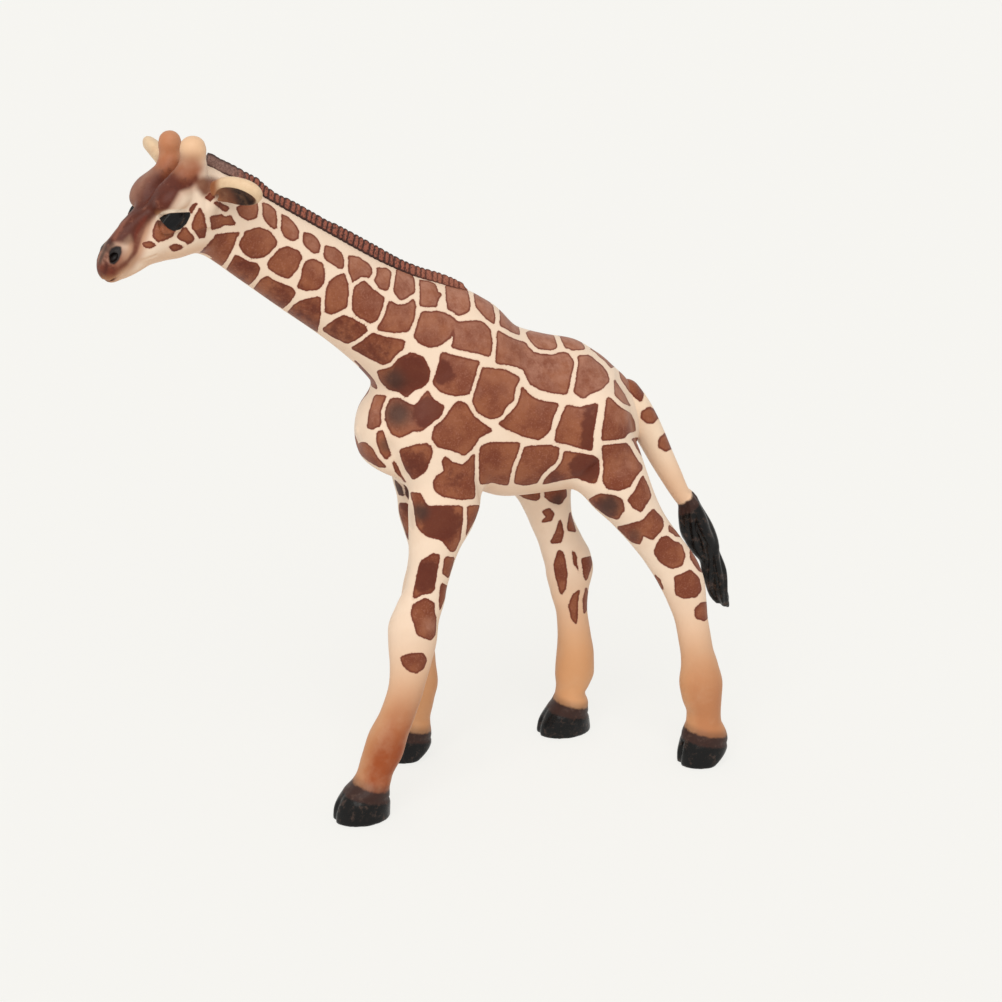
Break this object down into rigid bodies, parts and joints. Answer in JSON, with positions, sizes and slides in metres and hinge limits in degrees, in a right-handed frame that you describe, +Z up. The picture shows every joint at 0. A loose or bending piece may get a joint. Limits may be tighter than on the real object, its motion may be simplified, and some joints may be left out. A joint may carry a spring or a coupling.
{
  "type": "toy giraffe figure",
  "caption": "Free-standing toy giraffe in mid stride, with its head turned, a ribbed mane, short horns, spread ears, a hanging tufted tail and flat-soled hooves.",
  "frame": {"origin": "centre of the figure's box in plan, on the surface that it stands on", "axes": "+Z up, the animal faces -X, its left side is -Y"},
  "size_m": [0.144, 0.0356, 0.1521],
  "materials": {
    "painted_coat": "satin hand-painted brown patches on cream",
    "cream_pvc": "satin cream with airbrushed brown",
    "mane_brown": "satin dark brown",
    "leg_paint": "satin cream fading to orange brown, glossy black hooves"
  },
  "bodies": {
    "root": {"torso_left_shell": "painted_coat", "torso_right_shell": "painted_coat", "neck": "painted_coat", "head": "cream_pvc", "ear_left": "cream_pvc", "ear_right": "cream_pvc", "mane_strip": "mane_brown", "tail": "cream_pvc", "front_left_leg": "leg_paint", "front_right_leg": "leg_paint", "rear_left_leg": "leg_paint", "rear_right_leg": "leg_paint"}
  },
  "joints": []
}
